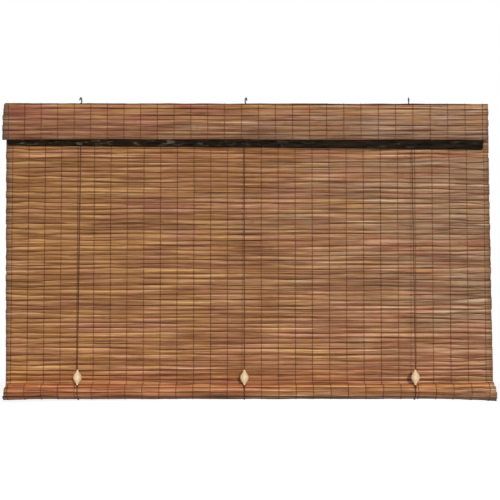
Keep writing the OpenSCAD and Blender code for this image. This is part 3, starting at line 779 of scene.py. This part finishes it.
# Bottom roll: the slats lie on a spiral round the pole
# each flare of the roll's ends is a start, a run and a growth
rollSet = {"slatsPerTurn": 10, "slatCount": 21, "gap": 0.2 * mm, "seams": 200, "play": 0.6,
           "endStep": 6.0 * mm, "endReach": 2.0 * mm, "tone": 0.6, "upPaintedLight": 3.5, "downPaintedShade": 4.4,
           "flares": ((0.35, 0.146, 0.24), (-0.36, -0.136, 0.09)), "flareMost": 1.1}
rollPlaces = threadCentres("roll_threads")
rollPoints = nodePoints("roll")[:, 1:] - np.array([rollAxis.y, rollAxis.z])
rollReaches = np.hypot(*rollPoints.T)
rollStep = math.tau / rollSet["slatsPerTurn"]
rollFirst = float(rollReaches.min()) + slatThick / math.cos(rollStep / 2)
rollGrowth = (float(rollReaches.max()) - rollFirst) / rollSet["slatCount"]


def rollCorner(k, rise=0.0):
    angle = (k - rollSet["slatCount"]) * rollStep
    reach = rollFirst + rollGrowth * k + rise
    return Vector((0, rollAxis.y + reach * math.cos(angle), rollAxis.z + reach * math.sin(angle)))


def rollRow(k):
    a, b = rollCorner(k), rollCorner(k + 1)
    along = (b - a).normalized()
    outward = Vector((0, along.z, -along.y))
    centre = (a + b) / 2 - outward * slatThick / 2
    shorter = rollSet["endStep"] * (1 + outward.z) - rollSet["endReach"]
    # painted light and shade: slats that look up are lighter, and those that look down darker
    change = rollSet["upPaintedLight"] if outward.z > 0 else rollSet["downPaintedShade"]
    tone = rollSet["tone"] + outward.z * abs(outward.z) * change
    seam = rollSet["seams"] + k
    return ((rollLow.x + rollHigh.x) / 2, centre.y, centre.z, rollHigh.x - rollLow.x - shorter,
            (b - a).length - rollSet["gap"], math.atan2(outward.z, outward.y), seam + 1, seam,
            rollSet["play"], tone, 0.0)


def loosenEnds(piece):
    # the roll is wound more loosely towards its two ends, most at the right
    points = readPoints(piece.data)
    growth = np.ones(len(points), np.float32)
    for start, run, most in rollSet["flares"]:
        growth += most * np.clip((points[:, 0] - start) / run, 0, rollSet["flareMost"]) ** 2
    for axis, middle in ((1, rollAxis.y), (2, rollAxis.z)):
        points[:, axis] = middle + (points[:, axis] - middle) * growth
    piece.data.vertices.foreach_set("co", points.ravel())
    piece.data.update()
    return piece


rollRows = [rollRow(k) for k in range(rollSet["slatCount"])]
rollSlats = slatBank("rollSlats", rollRows, "rolled_face", rollPlaces, 37)
dress(loosenEnds(rollSlats), "bottom_roll", "slat_outer_face", "roll")
discard(slatForm)
print("roll slats:", len(rollRows))

# Threads: in the mat, pairs of strands that swap sides from slat to slat, one in front and one behind
threadSet = {"radius": 0.45 * mm, "sway": 0.7 * mm, "dip": 0.55, "runEnds": 2.0 * mm, "shoulder": 1.0 * mm,
             "shoulderShare": 0.82, "flat": 0.3, "outerShoulder": 1.2 * mm, "outerDip": 0.4 * mm,
             "tail": 3.0 * mm, "topInset": 0.93, "rollFlat": 0.12, "standShare": 0.9}
# how far a thread's middle stands off a slat's face
threadReach = threadSet["radius"] * threadSet["standShare"]


def weaveChains(edges, depth):
    chains = []
    shoulder, flat = threadSet["shoulder"], threadSet["flat"]
    for side in (1, -1):
        chain = [Vector((0, depth, edges[0][0] + threadSet["runEnds"]))]
        for i, (top, low) in enumerate(edges):
            out = side * (slatThick / 2 + threadReach) * (1 if i % 2 else -1)
            steps = ((threadSet["shoulderShare"], top - shoulder), (1.0, top * (1 - flat) + low * flat),
                     (1.0, top * flat + low * (1 - flat)), (threadSet["shoulderShare"], low + shoulder))
            chain += [Vector((0, depth + out * share, z)) for share, z in steps]
            below = edges[i + 1][0] if i + 1 < len(edges) else low - 2 * threadSet["runEnds"]
            chain.append(Vector((0, depth, (low + below) / 2)))
        chains.append(chain)
    return chains


def threadBank(name, chains, places, seed):
    path = chainObject(name + "Path", *chains)
    piece = grow(meshObject(name, [(x, 0, 0) for x in places]), threadTree, {
        "Strand path": path, "Radius": threadSet["radius"], "Sway": threadSet["sway"], "Seed": seed,
        "Finish": finishes["warp_thread"]})
    discard(path)
    return piece


warpUpper = threadBank("warpUpper", weaveChains(matEdges[:foldSlat], matMid), warpPlaces, 51)
warpLower = threadBank("warpLower", weaveChains(matEdges[foldSlat:], matMid), warpPlaces, 52)
for piece in (warpUpper, warpLower):
    dress(piece, "hanging", "warp_thread", "warp_threads")
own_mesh(warpLower)


def valanceChain():
    # up the front, over the top and down the tail
    chain = []
    for depth, way in ((valanceLow.y, 1), (valanceHigh.y, -1)):
        run = []
        for top, low in slatEdges("valance", depth):
            out = depth - way * threadReach
            dipped = depth + way * threadSet["dip"] * slatThick / 2
            run += [Vector((0, dipped, top + threadSet["outerDip"])),
                    Vector((0, out, top - threadSet["outerShoulder"])),
                    Vector((0, out, low + threadSet["outerShoulder"]))]
        run.append(Vector((0, depth + way * slatThick / 2, run[-1].z - threadSet["tail"])))
        chain += run[::-1] if way > 0 else run
        if way > 0:
            chain += [Vector((0, y * threadSet["topInset"], valanceHigh.z + threadReach))
                      for y in (valanceLow.y, valanceHigh.y)]
    return chain


valanceWarp = threadBank("valanceWarp", [valanceChain()], valancePlaces, 61)
dress(valanceWarp, "hanging", "warp_thread", "valance_threads")


def rollChain():
    # one turn round the outside
    chain = []
    for k in range(rollSet["slatCount"] - rollSet["slatsPerTurn"], rollSet["slatCount"]):
        a, b = rollCorner(k, threadReach), rollCorner(k + 1, threadReach)
        chain += [rollCorner(k, -slatThick * threadSet["dip"] / 2), a.lerp(b, threadSet["rollFlat"]),
                  a.lerp(b, 1 - threadSet["rollFlat"])]
    return chain


rollWarp = threadBank("rollWarp", [rollChain()], rollPlaces, 71)
dress(loosenEnds(rollWarp), "bottom_roll", "warp_thread", "roll_threads")
print("thread banks made")

# Lift cords: straight runs, a sling under the roll, and wound knots
cordSet = {"layLength": liftCord["Lay length"], "step": 1.1 * mm, "knotTurns": 2.5, "knotPitch": 1.5 * mm,
           "knotPoints": 30, "slingHug": 3.4 * mm, "slingPoints": 36}
upright = Vector((0, 0, 1))


def cordLine(side):
    # the cord's radius, and the front run from the headrail's hole to the bead's top
    low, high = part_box("cord_front_" + side)
    radius = (high.x - low.x) / 2
    x = (low.x + high.x) / 2
    return radius, Vector((x, high.y - radius, high.z)), Vector((x, low.y + radius, low.z))


def cordPiece(name, node, body, side, *chains):
    piece = grow(chainObject(name + side, *chains), cordTree, {
        "Radius": cordLine(side)[0], "Lay length": cordSet["layLength"], "Step": cordSet["step"],
        "Finish": finishes["lift_cord"]})
    return dress(piece, body, "lift_cord", node + side)


def knotSize(side):
    # how far the turns lie from the knot's axis, and half its height
    low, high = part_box("back_knot_" + side)
    return (high.x - low.x) / 2 - cordLine(side)[0], (high.z - low.z) / 2


def spoke(axis, angle):
    east = Vector((1, 0, 0))
    north = axis.cross(east).normalized()
    return east * math.cos(angle) + north * math.sin(angle)


def knotChain(centre, axis, reach):
    chain = []
    for i in range(cordSet["knotPoints"] + 1):
        share = i / cordSet["knotPoints"]
        rise = cordSet["knotPitch"] * cordSet["knotTurns"] * (share - 0.5)
        chain.append(centre + axis * rise + spoke(axis, math.tau * cordSet["knotTurns"] * share) * reach)
    return chain


def layRuns(side):
    mouth, beadTop = cordLine(side)[1:]
    front = cordPiece("liftCordFront_", "cord_front_", "hanging", side, [mouth, beadTop])
    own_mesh(front)
    low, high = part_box("cord_back_" + side)
    ends = [Vector((mouth.x, (low.y + high.y) / 2, z)) for z in (low.z, high.z)]
    back = cordPiece("liftCordBack_", "cord_back_", "hanging", side, ends)
    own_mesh(back)


def laySling(side):
    # down through the bead, drawn tight under the roll, and up to its back
    radius, mouth, beadTop = cordLine(side)
    knotReach, knotHalf = knotSize(side)
    downward = (beadTop - mouth).normalized()
    slingReach = rollAxis.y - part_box("cord_sling_" + side)[0].y - radius
    touch = Vector((mouth.x, rollAxis.y, rollAxis.z)) + Vector((0, downward.z, -downward.y)) * slingReach
    startAngle = math.atan2(touch.z - rollAxis.z, touch.y - rollAxis.y) % math.tau
    arc = []
    for angle in np.linspace(startAngle, math.tau, cordSet["slingPoints"]):
        reach = slingReach - cordSet["slingHug"] * math.sin(angle) ** 2
        y, z = rollAxis.y + reach * math.cos(angle), rollAxis.z + reach * math.sin(angle)
        arc.append(Vector((mouth.x, y, z)))
    knotShare = (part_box("bead_" + side)[0].z - knotHalf - touch.z) / (beadTop.z - touch.z)
    knot = knotChain(touch + (beadTop - touch) * knotShare, -downward, knotReach)
    cordPiece("cordSling_", "cord_sling_", "lift", side, [beadTop] + arc, knot)


def tieKnots(side):
    knotReach, knotHalf = knotSize(side)
    low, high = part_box("back_knot_" + side)
    turns = knotChain((low + high) / 2, upright, knotReach)
    cordPiece("backKnot_", "back_knot_", "hanging", side, turns)
    low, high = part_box("front_knot_" + side)
    middle = (low + high) / 2
    pocketTop = Vector((middle.x, middle.y, high.z - knotHalf))
    run = [Vector((cordLine(side)[1].x, middle.y, low.z)), pocketTop]
    turns = knotChain(pocketTop, upright, knotReach)
    cordPiece("frontKnot_", "front_knot_", "hanging", side, run, turns)


for side in sides:
    layRuns(side)
    laySling(side)
    tieKnots(side)

# Beads: turned about the cord's line
beadSet = {"rings": 40, "around": 44, "full": 0.85, "tipShare": 0.17, "boreShare": 0.13, "heightShare": 0.995}


def turnBead(name, centre, axis, height, radius):
    tip, bore = beadSet["tipShare"], radius * beadSet["boreShare"]
    profile = [(bore, -height / 2)]
    for i in range(beadSet["rings"] + 1):
        t = 2 * i / beadSet["rings"] - 1
        swell = max((1 + math.cos(math.pi * t)) / 2, 0.0) ** beadSet["full"]
        profile.append((radius * (tip + (1 - tip) * swell), t * height / 2))
    profile.append((bore, height / 2))
    around = beadSet["around"]
    points = [centre + axis * rise + spoke(axis, math.tau * j / around) * reach
              for reach, rise in profile for j in range(around)]
    bead = meshObject(name, points, (), ringFaces(len(profile), around, closed=True))
    faceOutwards(bead)
    bead.data.shade_smooth()
    bead.data.materials.append(finishes["bead_wood"])
    return bead


for side in sides:
    beadLow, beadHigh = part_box("bead_" + side)
    mouth, beadTop = cordLine(side)[1:]
    height = (beadHigh.z - beadLow.z) * beadSet["heightShare"]
    bead = turnBead("turnedBead_" + side, (beadLow + beadHigh) / 2, (mouth - beadTop).normalized(), height,
                    (beadHigh.x - beadLow.x) / 2)
    dress(bead, "lift", "bead_wood", "bead_" + side)
print("cords, knots and beads made")

# Frame nodes that keep their own shape take a finish
plainNodes = {"headrail": "stained_rail", "bottom_pole": "pole_wood", "mat_staples": "staple_wire",
              "valance_staples": "staple_wire", "cord_staples": "staple_wire"}
plainNodes.update({"hook_" + side: "hook_steel" for side in sides})
for node, finishName in plainNodes.items():
    mesh = frame["nodes"][node].data
    mesh.materials.clear()
    mesh.materials.append(finishes[finishName])
print("frame nodes finished:", len(plainNodes))

# Studio: pale floor, a key behind the camera at the upper right, soft light from above and behind, even fill
studio = {"floorZ": -1.1, "floorSize": 14.0, "floorGrey": 0.74, "floorRoughness": 0.9, "floorGlow": 0.72,
          "fill": 0.2, "aim": (0.0, 0.0, -0.32),
          "lamps": {"keyLight": ((0.9, -5.8, 0.45), 0.45, 208.0), "topLight": ((0.0, -1.6, 2.2), 2.4, 24.0),
                    "backLight": ((-1.4, 4.4, 1.2), 2.2, 90.0)}}


def seenDirectly(tree):
    ray = tree.nodes.new("ShaderNodeLightPath").outputs
    mirrored = maths(tree, "MAXIMUM", ray["Is Glossy Ray"], ray["Is Transmission Ray"])
    return maths(tree, "MAXIMUM", ray["Is Camera Ray"], mirrored)


def makeFloor():
    half, z, grey = studio["floorSize"] / 2, studio["floorZ"], studio["floorGrey"]
    corners = [(-half, -half, z), (half, -half, z), (half, half, z), (-half, half, z)]
    floor = meshObject("floor", corners, (), [(0, 1, 2, 3)])
    material = bpy.data.materials.new("paleFloor")
    material.use_nodes = True
    tree = material.node_tree
    shader = tree.nodes["Principled BSDF"]
    shader.inputs["Base Color"].default_value = (grey, grey, grey, 1)
    shader.inputs["Roughness"].default_value = studio["floorRoughness"]
    shader.inputs["Emission Color"].default_value = (1, 1, 1, 1)
    glow = maths(tree, "MULTIPLY", seenDirectly(tree), studio["floorGlow"])
    feed(tree, shader.inputs["Emission Strength"], glow)
    floor.data.materials.append(material)


def makeWorld():
    world = bpy.data.worlds.new("studioFill")
    bpy.context.scene.world = world
    world.use_nodes = True
    tree = world.node_tree
    background = tree.nodes["Background"]
    background.inputs["Color"].default_value = (1, 1, 1, 1)
    feed(tree, background.inputs["Strength"], spread(tree, seenDirectly(tree), 0.0, 1.0, studio["fill"], 1.0))


def makeLamp(name, place, size, power):
    light = bpy.data.lights.new(name, "AREA")
    light.energy = power
    light.size = size
    lamp = bpy.data.objects.new(name, light)
    bpy.context.scene.collection.objects.link(lamp)
    lamp.location = place
    lamp.rotation_euler = (Vector(studio["aim"]) - Vector(place)).to_track_quat("-Z", "Y").to_euler()


makeFloor()
makeWorld()
for lampName, lampValues in studio["lamps"].items():
    makeLamp(lampName, *lampValues)

# Camera, a little below the middle and looking slightly up
shot = {"place": (-0.0129, -2.2, -0.4208), "pitch": 0.0485, "yaw": 0.0071, "lens": 77.14, "sensor": 36.0}
cameraData = bpy.data.cameras.new("camera")
cameraData.lens = shot["lens"]
cameraData.sensor_width = shot["sensor"]
camera = bpy.data.objects.new("camera", cameraData)
bpy.context.scene.collection.objects.link(camera)
camera.location = shot["place"]
camera.rotation_euler = (math.pi / 2 + shot["pitch"], 0.0, -shot["yaw"])
bpy.context.scene.camera = camera
bpy.context.scene.view_settings.view_transform = "Standard"
print("studio ready")
